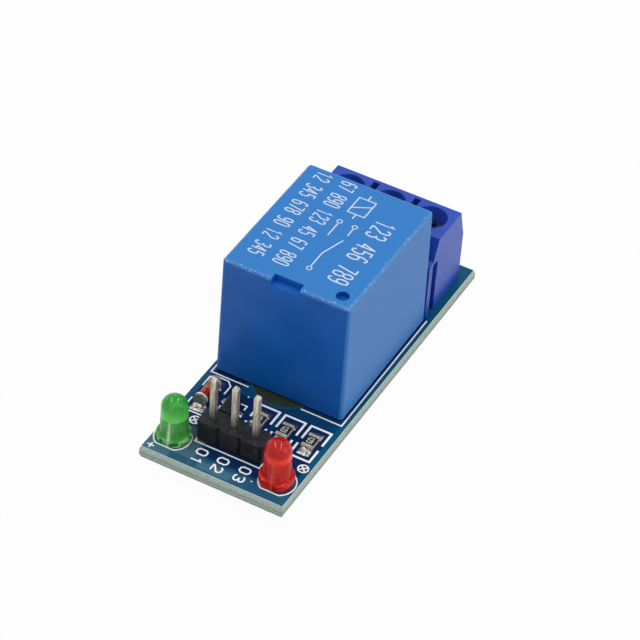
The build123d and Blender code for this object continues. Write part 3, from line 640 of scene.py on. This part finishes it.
def arc(centre, radius, start, end, steps=28):
    """Points of an arc between two angles in degrees."""
    angles = [radians(start + (end - start) * i / steps) for i in range(steps + 1)]
    return [(centre[0] + radius * cos(a), centre[1] + radius * sin(a)) for a in angles]


def ribbon_sides(points, width):
    """Left and right edges of a line of ink with mitred corners."""
    line = [Vector(p) for p in points]
    closed = (line[0] - line[-1]).length < 1e-6 and len(line) > 2
    steps = [(after - before).normalized() for before, after in zip(line, line[1:])]
    left, right = [], []
    for i, point in enumerate(line):
        arriving = steps[i - 1] if i or closed else steps[0]
        leaving = steps[i % len(steps)] if i < len(steps) or closed else steps[-1]
        along = (arriving + leaving).normalized()
        side = Vector((-along.y, along.x))
        spread = max(0.5, side.dot(Vector((-arriving.y, arriving.x))))
        reach = side * (width / 2 / spread)
        left.append(point + reach)
        right.append(point - reach)
    return left, right


def print_piece(name, lines, level, finish, rise=0.012):
    """Raised ink from lines of (points, width), lying at a height above the board."""
    mesh = bmesh.new()
    for number, (points, width) in enumerate(lines):
        left, right = ribbon_sides(points, width)
        top = rise + 0.0012 * (number % 5)
        rows = []
        for a, b in zip(left, right):
            corners = ((a, 0), (a, top), (b, top), (b, 0))
            rows.append([mesh.verts.new(on_board(p.x, p.y, level + lift)) for p, lift in corners])
        for near, far in zip(rows, rows[1:]):
            for i in range(3):
                mesh.faces.new((near[i], far[i], far[i + 1], near[i + 1]))
        mesh.faces.new(rows[0])
        mesh.faces.new(rows[-1][::-1])
    return piece(name, mesh, finish, smooth=False)


def piece(name, mesh, finish, body="module", smooth=True):
    """Turns a bmesh into an object of the scene that rides on a body."""
    bmesh.ops.recalc_face_normals(mesh, faces=mesh.faces)
    data = bpy.data.meshes.new(name)
    mesh.to_mesh(data)
    mesh.free()
    data.polygons.foreach_set("use_smooth", [smooth] * len(data.polygons))
    data.materials.append(finish)
    made = bpy.data.objects.new(name, data)
    bpy.context.scene.collection.objects.link(made)
    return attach(made, body)


THIN_OUTLINES = {
    "relay, left": [(0.42, 32.9), (0.42, 13.49), (5.0, 13.49)],
    "relay, right": [(11.3, 13.49), (16.17, 13.49), (16.17, 32.9)],
    "header": [(4.32, 4.25), (4.32, 3.52), (11.98, 3.52), (11.98, 6.95), (4.0, 6.95), (4.0, 6.2)],
    "diode, rear": [(0.72, 11.15), (0.72, 12.75), (1.2, 13.14), (2.75, 13.14), (3.35, 12.55),
                    (3.35, 11.15)],
    "diode, front": [(0.72, 9.05), (0.72, 7.6), (1.2, 7.12), (2.9, 7.12), (3.35, 7.6), (3.35, 9.05)],
    "transistor, rear": [(3.93, 10.4), (3.93, 9.85)],
    "transistor, front": [(3.93, 9.5), (3.93, 9.05)],
    "transistor, right": [(5.62, 10.82), (6.35, 10.82), (6.35, 10.15)],
    "plus, across": [(0.35, 0.62), (1.15, 0.62)],
    "plus, along": [(0.75, 0.22), (0.75, 1.02)],
}


def board_lines(settings):
    """White print of the board: part outlines, pin numbers and a few plain marks."""
    thin, thick = settings.thin_line, settings.thick_line
    lines = [(points, thin) for points in THIN_OUTLINES.values()]
    radius = 0.55
    slant = radius * sin(radians(45))
    for x, y in ((2.75, 6.2), (15.85, 5.85)):
        lines.append((arc((x, y), radius, 0, 360, 20), thin))
        lines.append(([(x - slant, y - slant), (x + slant, y + slant)], thin))
        lines.append(([(x - slant, y + slant), (x + slant, y - slant)], thin))
    for centre in ((2.08, 2.82), (14.52, 2.82)):
        ring = arc(centre, 2.0, -57, 237)
        lines.append((ring + ring[:1], thin))
    for x, _ in resistor_plan():
        left, right = x - 1.2, x + 1.2
        for tip, end in ((11.87, 9.75), (7.0, 8.95)):
            lines.append(([(left, end), (left, tip), (right, tip), (right, end)], thick))
    for number, x in enumerate((5.25, 7.75, 10.35), 1):
        lines += [(line, thin * 1.1) for line in digit_lines(f"0{number}", (x, 2.85), 1.15, 1.3)]
    dot = 0.18
    for x, y in ((5.75, 12.15), (12.25, 1.45), (4.5, 12.4)):
        lines.append(([(x - dot / 2, y), (x + dot / 2, y)], dot))
    return lines


def resistor_plan():
    """Middle of each chip resistor, in board millimetres."""
    return [board_centre(f"resistor_{n}_body") for n in (1, 2, 3)]


def relay_lines(settings):
    """Pale print on the relay: plain digits, and its coil and contact drawn as simple shapes."""
    width = settings.relay_line
    rows = [("12 345 678 90 12 345", (2.35, 31.9), 1.75, 0.78, width),
            ("67 890 123 45 67 890", (5.3, 31.9), 1.75, 0.78, width),
            ("123 456 789", (11.45, 28.1), 2.2, 1.03, width * 1.2)]
    lines = []
    for text, start, height, advance, stroke in rows:
        lines += [(line, stroke) for line in digit_lines(text, start, height, advance)]
    coil = [(8.1, 30.4), (10.1, 30.4), (10.1, 27.7), (8.1, 27.7), (8.1, 30.4)]
    coil_wires = [[(8.1, 28.5), (10.1, 29.6)], [(9.1, 30.4), (9.1, 31.2)], [(9.1, 27.7), (9.1, 26.9)]]
    contact = [[(9.1, 18.0), (9.1, 20.4), (10.0, 23.3)], [(8.2, 25.4), (8.2, 23.2)],
               [(10.0, 25.4), (10.0, 24.2)]]
    lines += [(line, width) for line in (coil, *coil_wires, *contact)]
    for centre in ((9.1, 17.6), (8.2, 25.8), (10.0, 25.8)):
        lines.append((arc(centre, 0.28, 0, 360, 14), width * 0.8))
    return lines


def chip_lines(centre):
    """Plain number on the top of a chip resistor."""
    height, advance, stroke = 0.62, 0.31, 0.07
    start = (centre[0] - height / 2, centre[1] + 0.42)
    return [(line, stroke) for line in digit_lines("123", start, height, advance)]


# Shaped pieces


def lamp_profile(rim):
    """Outline of the lamp resin as radius and height, for a height of its flange's rim."""
    flange, body, taper, foot = 1.9, 1.52, 0.08, -0.1
    dome = body - taper
    height = board_box("green_lamp_lens")[1].z - LAMP_BOTTOM
    points = [(0, foot), (flange - 0.08, foot), (flange, foot + 0.08), (flange, rim - 0.14),
              (flange - 0.05, rim - 0.04), (flange - 0.16, rim), (body + 0.14, rim),
              (body + 0.04, rim + 0.04), (body, rim + 0.16)]
    shoulder, straight = rim + 0.16, height - dome
    points += [(body - taper * i / 6, shoulder + (straight - shoulder) * i / 6) for i in range(1, 7)]
    points += [(dome * cos(radians(a)), straight + dome * sin(radians(a))) for a in range(8, 90, 8)]
    return points + [(0, height)]


def lamp_piece(name, finish):
    """Turned lamp resin with the flat on its flange."""
    x, y = board_centre(name)
    segments, flat = 64, 1.65
    mesh = bmesh.new()
    rings = []
    for radius, height in lamp_profile(LAMP_LOOKS[name]["rim"]):
        ring = []
        for i in range(segments if radius else 1):
            turn = 2 * pi * i / segments
            along = max(radius * sin(turn), -flat)
            ring.append(mesh.verts.new(on_board(x + radius * cos(turn), y + along, LAMP_BOTTOM + height)))
        rings.append(ring)
    for lower, upper in zip(rings, rings[1:]):
        for i in range(segments):
            corners = [lower[i % len(lower)], lower[(i + 1) % len(lower)], upper[(i + 1) % len(upper)],
                       upper[i % len(upper)]]
            mesh.faces.new(list(dict.fromkeys(corners)))
    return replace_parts(piece(name + "_resin", mesh, finish), name)


def solder_mound(mesh, low, high, tall_end, heights, seed):
    """Lumpy solder on a pad: thin at its toe and climbing to the part at its tall end."""
    steps = 10
    rows = []
    for j in range(steps + 1):
        v = j / steps
        climb = v if tall_end > 0 else 1 - v
        row = []
        for i in range(steps + 1):
            u = i / steps
            edge = (1 - abs(2 * u - 1) ** 5) * (1 - abs(2 * v - 1) ** 7)
            lump = noise.noise(Vector((u * 3.1 + seed, v * 3.4, seed * 0.7)))
            height = (heights[0] + (heights[1] - heights[0]) * climb ** 2.2) * (1 + 0.28 * lump) * edge
            row.append(mesh.verts.new(on_board(low[0] + (high[0] - low[0]) * u,
                                               low[1] + (high[1] - low[1]) * v, height)))
        rows.append(row)
    for near, far in zip(rows, rows[1:]):
        for i in range(steps):
            mesh.faces.new((near[i], near[i + 1], far[i + 1], far[i]))


def pad_pair(x, y, tip, root, half_width, heights, seed, seed_step):
    """Solder mounds at both ends of a part that lies along y."""
    mounds = []
    for side in (-1, 1):
        front, rear = sorted((y + side * tip, y + side * root))
        low, high = (x - half_width, front), (x + half_width, rear)
        mounds.append((low, high, -side, heights, seed + side * seed_step))
    return mounds


def resistor_mounds():
    """Solder on both pads of every chip resistor."""
    plan = enumerate(resistor_plan())
    return [mound for number, (x, y) in plan
            for mound in pad_pair(x, y, 1.85, 0.85, 0.7, (0.09, 0.42), number * 3.7, 1)]


def diode_mounds():
    """Solder that cradles the diode's ends."""
    return pad_pair(*board_centre("diode_glass"), 2.6, 1.32, 0.78, (0.12, 0.45), 0, 2.3)


def transistor_mounds():
    """Solder at the three feet of the transistor."""
    x, y = board_centre("transistor_body")
    mounds = []
    for side, line in ((-1, -0.95), (-1, 0.95), (1, 0.0)):
        left, right = sorted((x + side * 1.5, x + side * 0.65))
        low, high = (left, y + line - 0.33), (right, y + line + 0.33)
        mounds.append((low, high, 1, (0.1, 0.16), side + line))
    return mounds


def solder_piece(name, mounds):
    """Piece of bright, lumpy solder."""
    mesh = bmesh.new()
    for mound in mounds:
        solder_mound(mesh, *mound)
    return piece(name, mesh, bpy.data.materials["bright_solder"])


# Stage


def floor_material(settings):
    """Pale floor that a camera, a gloss or a glass sees near white, with its shadow kept."""
    made = bpy.data.materials.new("studio_floor")
    sheet = blank_sheet(made)
    lit = sheet.node("ShaderNodeBsdfDiffuse", sockets={"Color": settings.floor})
    white = sheet.node("ShaderNodeEmission", sockets={"Color": (1, 1, 1), "Strength": 1.0})
    seen = seen_directly(sheet) * settings.floor_lift
    shader = sheet.node("ShaderNodeMixShader", sockets={0: seen, 1: lit, 2: white})
    sheet.node("ShaderNodeOutputMaterial", sockets={"Surface": shader})
    return made


def seen_directly(sheet):
    """1 for rays of the camera and for those that gloss or glass sends on."""
    rays = ("Is Camera Ray", "Is Glossy Ray", "Is Transmission Ray")
    return strongest([sheet.node("ShaderNodeLightPath", output=ray) for ray in rays])


def studio_world(settings):
    """Even grey surroundings for light, white where the camera or a gloss sees them."""
    world = bpy.data.worlds.new("studio")
    bpy.context.scene.world = world
    sheet = blank_sheet(world)
    dim = sheet.node("ShaderNodeBackground", sockets={"Color": (1, 1, 1), "Strength": settings.sky})
    white = sheet.node("ShaderNodeBackground", sockets={"Color": (1, 1, 1), "Strength": 1.0})
    shader = sheet.node("ShaderNodeMixShader", sockets={0: seen_directly(sheet), 1: dim, 2: white})
    sheet.node("ShaderNodeOutputWorld", sockets={"Surface": shader})


def soft_light(name, place, long_way, size, power):
    """Softbox of a width and a length that faces the board, with its length along the long way."""
    lamp = bpy.data.lights.new(name, "AREA")
    lamp.shape = "RECTANGLE"
    lamp.size, lamp.size_y = size
    lamp.energy = power
    made = bpy.data.objects.new(name, lamp)
    back = Vector(place).normalized()
    across = Vector(long_way).cross(back).normalized()
    turn = Matrix((across, back.cross(across), back)).transposed().to_4x4()
    made.matrix_world = Matrix.Translation(place) @ turn
    bpy.context.scene.collection.objects.link(made)


def studio_floor(finish):
    """Wide floor with a gently turned-up far edge."""
    mesh = bmesh.new()
    rows = []
    for y, z in ((-1.6, 0), (1.2, 0), (1.5, 0.02), (1.7, 0.1), (1.8, 0.25)):
        rows.append([mesh.verts.new((x, y, z)) for x in (-1.8, 0, 1.8)])
    for near, far in zip(rows, rows[1:]):
        for i in range(2):
            mesh.faces.new((near[i], near[i + 1], far[i + 1], far[i]))
    data = bpy.data.meshes.new("floor")
    mesh.to_mesh(data)
    mesh.free()
    data.materials.append(finish)
    made = bpy.data.objects.new("floor", data)
    bpy.context.scene.collection.objects.link(made)


def photo_camera():
    """Camera at the photograph's place and angle, as solved from its straight edges."""
    data = bpy.data.cameras.new("camera")
    data.sensor_width = 36
    data.lens = 171.5
    data.clip_start = 0.01
    made = bpy.data.objects.new("camera", data)
    place = (0.10607, -0.21579, 0.2232)
    right = Vector((0.8744, 0.4821, 0.0545))
    up = Vector((-0.3579, 0.5651, 0.7433))
    forward = Vector((-0.3276, 0.6695, -0.6667))
    turn = Matrix((right, up, -forward)).transposed().to_4x4()
    made.matrix_world = Matrix.Translation(place) @ turn
    bpy.context.scene.collection.objects.link(made)
    bpy.context.scene.camera = made


# Settings


def colour_setting(name, description, code):
    """Colour property with a display colour code as its default."""
    return FloatVectorProperty(name=name, description=description, subtype="COLOR", size=3, min=0, max=1,
                               default=tint(code))


class StageSettings(bpy.types.PropertyGroup):
    """Floor and lights."""
    floor: colour_setting("Floor", "Colour of the floor", "E6E6E6")
    floor_lift: FloatProperty(name="Floor lift", default=0.96, min=0, max=1, subtype="FACTOR",
                              description="Share of white that the camera sees in the floor")
    sky: FloatProperty(name="Surroundings", description="Strength of the even light from all round",
                       default=0.5, min=0, max=2)
    key: FloatProperty(name="Key lights", description="Power of each of the two long lights above",
                       default=2.55, min=0, unit="POWER")
    side: FloatProperty(name="Side light", description="Power of the light on the right",
                        default=1.3, min=0, unit="POWER")


class BoardSettings(bpy.types.PropertyGroup):
    """Lacquer and print of the board."""
    lacquer: colour_setting("Lacquer", "Solder mask over bare laminate", "0A2C5C")
    lacquer_on_copper: colour_setting("Lacquer on copper", "Solder mask over copper", "0A5678")
    print_tone: colour_setting("Print", "Ink of the board's print", "FFFFFF")
    thin_line: FloatProperty(name="Thin line", description="Width of outlines in millimetres",
                             default=0.17, min=0.05, max=0.5)
    thick_line: FloatProperty(name="Thick line", description="Width of the chip outlines in millimetres",
                              default=0.25, min=0.05, max=0.6)


class RelaySettings(bpy.types.PropertyGroup):
    """Relay cover and its print."""
    cover: colour_setting("Cover", "Blue of the relay cover", "0A62BC")
    cover_shade: colour_setting("Cover clouds", "Darker flow clouds in the cover", "0856AC")
    # Painted sheen: this paler blue stands in for the light on the cover's top face.
    cover_top_sheen: colour_setting("Cover top", "Paler, handled top of the cover", "2A7BC6")
    # Painted sheen: this paler blue stands in for the white surroundings reflected by the right side.
    cover_side_sheen: colour_setting("Cover side", "Duller, rubbed right side of the cover", "2D75BE")
    print_tone: colour_setting("Print", "Ink on the relay", "CFDCEE")
    relay_line: FloatProperty(name="Line", description="Width of the printed strokes in millimetres",
                              default=0.15, min=0.05, max=0.4)


class LampSettings(bpy.types.PropertyGroup):
    """Resin of the two lamps."""
    green_dome: colour_setting("Green dome", "Milky top of the green lamp", "2A9A34")
    # Painted glow: this ring colour brightens the foot of the green dome.
    green_bright: colour_setting("Green ring", "Bright band at the foot of the green dome", "62D85A")
    green_low: colour_setting("Green foot", "Clear lower part of the green lamp", "46AC4A")
    red_dome: colour_setting("Red dome", "Milky top of the red lamp", "B60B06")
    # Painted glow: this ring colour brightens the foot of the red dome.
    red_bright: colour_setting("Red ring", "Bright band at the foot of the red dome", "FF2C08")
    red_low: colour_setting("Red foot", "Clear lower part of the red lamp", "E01A0C")
    green_glint: colour_setting("Green glints", "Light caught in the green lamp's foot", "96E486")
    red_glint: colour_setting("Red glints", "Light caught in the red lamp's foot", "C41C12")
    green_ring: FloatProperty(name="Green ring height", default=3.2, min=1.5, max=5,
                              description="Height of the green dome's lower edge in millimetres")
    red_ring: FloatProperty(name="Red ring height", default=3.5, min=1.5, max=5,
                            description="Height of the red dome's lower edge in millimetres")


class ModuleSettings(bpy.types.PropertyGroup):
    """All settings of the relay module board."""
    stage: PointerProperty(type=StageSettings)
    board: PointerProperty(type=BoardSettings)
    relay: PointerProperty(type=RelaySettings)
    lamps: PointerProperty(type=LampSettings)


# Operators


class MODULE_OT_stage(bpy.types.Operator):
    """Lay the floor and set the lights and the camera"""
    bl_idname = "relay_module.stage"
    bl_label = "Stage"

    def execute(self, context):
        settings = context.scene.relay_module.stage
        context.scene.view_settings.view_transform = "Standard"
        studio_floor(floor_material(settings))
        studio_world(settings)
        slant, strip = (-0.45, 0.88, -0.1), (0.09, 1.1)
        soft_light("left_key_light", (-0.4, -0.16, 0.87), slant, strip, settings.key)
        soft_light("right_key_light", (0.27, 0.2, 0.91), slant, strip, settings.key)
        soft_light("side_light", (0.8, 0.1, 0.4), (0, 0, 1), (0.5, 0.5), settings.side)
        photo_camera()
        return {"FINISHED"}


class MODULE_OT_board(bpy.types.Operator):
    """Lacquer the board and lay its print"""
    bl_idname = "relay_module.board"
    bl_label = "Circuit board"

    def execute(self, context):
        settings = context.scene.relay_module.board
        finish_slot("solder_mask", "lacquered_laminate", lacquered_laminate, settings)
        white = material("board_ink", ink, settings.print_tone, 0.15)
        print_piece("board_print", board_lines(settings), 0, white)
        return {"FINISHED"}


class MODULE_OT_lamps(bpy.types.Operator):
    """Turn the two lamps and finish their lead frames"""
    bl_idname = "relay_module.lamps"
    bl_label = "Lamps"

    def execute(self, context):
        settings = context.scene.relay_module.lamps
        frames = [f"{lamp}_lamp_{half}" for lamp in ("green", "red") for half in ("anode", "cathode")]
        coat(frames, material("lead_frame", metal, tint("FAFAF6"), tint("E6E6E0"), 0.4, 0.5, full=0.0))
        green = material("green_resin", lamp_resin, "green_lamp_lens", **lamp_tones(settings, "green"))
        red = material("red_resin", lamp_resin, "red_lamp_lens", **lamp_tones(settings, "red"))
        lamp_piece("green_lamp_lens", green)
        lamp_piece("red_lamp_lens", red)
        finish_slot("silicon", "silicon", potting)
        return {"FINISHED"}


class MODULE_OT_header(bpy.types.Operator):
    """Finish the pin header and every tinned lead"""
    bl_idname = "relay_module.header"
    bl_label = "Pin header"

    def execute(self, context):
        finish_slot("black_moulding", "black_moulding", moulding, tint("131519"), 0.42, 0.3, scuffs=0.5)
        finish_slot("tinned_metal", "tinned_metal", metal, tint("DDD4C6"), tint("A59B8C"), 0.28, 0.3,
                    (1, 1, 6))
        soften(["header_body"], 0.06)
        soften(["header_pin_1", "header_pin_2", "header_pin_3"], 0.04)
        return {"FINISHED"}


class MODULE_OT_resistors(bpy.types.Operator):
    """Finish the chip resistors, their numbers and their solder"""
    bl_idname = "relay_module.resistors"
    bl_label = "Chip resistors"

    def execute(self, context):
        finish_slot("chip_ceramic", "chip_ceramic", ceramic)
        ends = material("chip_ends", metal, tint("DDD4C5"), tint("A89E8F"), 0.4, 0.25, full=0.45)
        coat([f"resistor_{n}_ends" for n in (1, 2, 3)], ends)
        white = material("chip_ink", ink, tint("F0F2F2"), 0.4)
        for number, centre in enumerate(resistor_plan(), 1):
            mark = print_piece(f"resistor_{number}_mark", chip_lines(centre), CHIP_TOP, white, rise=0.01)
        solder = solder_piece("resistor_solder", resistor_mounds())
        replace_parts(solder, "solder_resistors")
        return {"FINISHED"}


class MODULE_OT_diode(bpy.types.Operator):
    """Finish the glass diode and its solder"""
    bl_idname = "relay_module.diode"
    bl_label = "Glass diode"

    def execute(self, context):
        finish_slot("diode_glass", "diode_glass", diode_sleeve)
        finish_slot("diode_ends", "diode_ends", diode_stud)
        solder = solder_piece("diode_solder", diode_mounds())
        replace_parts(solder, "solder_diode")
        return {"FINISHED"}


class MODULE_OT_transistor(bpy.types.Operator):
    """Solder the transistor's feet"""
    bl_idname = "relay_module.transistor"
    bl_label = "Transistor"

    def execute(self, context):
        solder = solder_piece("transistor_solder", transistor_mounds())
        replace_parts(solder, "solder_transistor")
        soften(["transistor_body"], 0.05)
        return {"FINISHED"}


class MODULE_OT_relay(bpy.types.Operator):
    """Finish the relay's cover, print and works"""
    bl_idname = "relay_module.relay"
    bl_label = "Relay"

    def execute(self, context):
        settings = context.scene.relay_module.relay
        finish_slot("relay_blue", "relay_moulding", relay_moulding, settings)
        pale = material("relay_ink", ink, settings.print_tone, 0.5)
        print_piece("relay_print", relay_lines(settings), RELAY_TOP, pale)
        finish_slot("relay_base", "relay_base", moulding, tint("1C1D20"), 0.55, 0.3)
        finish_slot("sealing_compound", "sealing_compound", potting)
        finish_slot("copper", "wound_copper", wound_copper)
        finish_slot("former_white", "former_white", moulding, tint("DCD8CF"), 0.45, 0.4, 0.05)
        finish_slot("iron", "plated_iron", metal, tint("B9BABA"), tint("A3A6A6"), 0.34, 0.8)
        finish_slot("leaf_copper", "leaf_copper", metal, tint("CE8E5C"), tint("C08252"), 0.3, 0.5,
                    (3, 1, 3), 0.004)
        finish_slot("contact_silver", "contact_silver", metal, tint("E4E4DF"), tint("B5B5AE"), 0.22)
        return {"FINISHED"}


class MODULE_OT_terminal(bpy.types.Operator):
    """Finish the terminal's housing, cages, screws and clamp plates"""
    bl_idname = "relay_module.terminal"
    bl_label = "Screw terminal"

    def execute(self, context):
        finish_slot("terminal_blue", "terminal_moulding", moulding, tint("1E48AE"), 0.36, 0.3, 0.06, 0.008)
        soften(["terminal_housing"], 0.1)
        finish_slot("plated_steel", "plated_steel", metal, tint("C6C6C2"), tint("9C9D9A"), 0.3, 0.6)
        finish_slot("screw_steel", "screw_steel", metal, tint("C9C8C2"), tint("9A9994"), 0.24, 0.5,
                    (4, 4, 1))
        soften([f"terminal_screw_{n}" for n in (1, 2, 3)], 0.06)
        return {"FINISHED"}


class MODULE_OT_solder(bpy.types.Operator):
    """Brighten the solder joints"""
    bl_idname = "relay_module.solder"
    bl_label = "Solder"

    def execute(self, context):
        finish_slot("solder", "bright_solder", metal, tint("C4BFB9"), tint("5A5653"), 0.22, 0.3, depth=0.08)
        return {"FINISHED"}


class MODULE_PT_panel(bpy.types.Panel):
    """Lists the pieces of the relay module board"""
    bl_idname = "MODULE_PT_panel"
    bl_label = "Relay module board"
    bl_space_type = "VIEW_3D"
    bl_region_type = "UI"
    bl_category = "Relay module"

    def draw(self, context):
        for operator in OPERATORS:
            self.layout.operator(operator.bl_idname)
        settings = context.scene.relay_module
        for group in (settings.stage, settings.board, settings.relay, settings.lamps):
            box = self.layout.box()
            for name in group.__annotations__:
                box.prop(group, name)


OPERATORS = (MODULE_OT_stage, MODULE_OT_solder, MODULE_OT_board, MODULE_OT_header, MODULE_OT_lamps,
             MODULE_OT_resistors, MODULE_OT_diode, MODULE_OT_transistor, MODULE_OT_relay,
             MODULE_OT_terminal)
CLASSES = (StageSettings, BoardSettings, RelaySettings, LampSettings, ModuleSettings, *OPERATORS,
           MODULE_PT_panel)


def register():
    for cls in CLASSES:
        bpy.utils.register_class(cls)
    bpy.types.Scene.relay_module = PointerProperty(type=ModuleSettings)


def unregister():
    del bpy.types.Scene.relay_module
    for cls in reversed(CLASSES):
        bpy.utils.unregister_class(cls)


def main():
    """Builds the whole scene."""
    register()
    for operator in OPERATORS:
        group, name = operator.bl_idname.split(".")
        getattr(getattr(bpy.ops, group), name)()


if __name__ == "__main__":
    main()
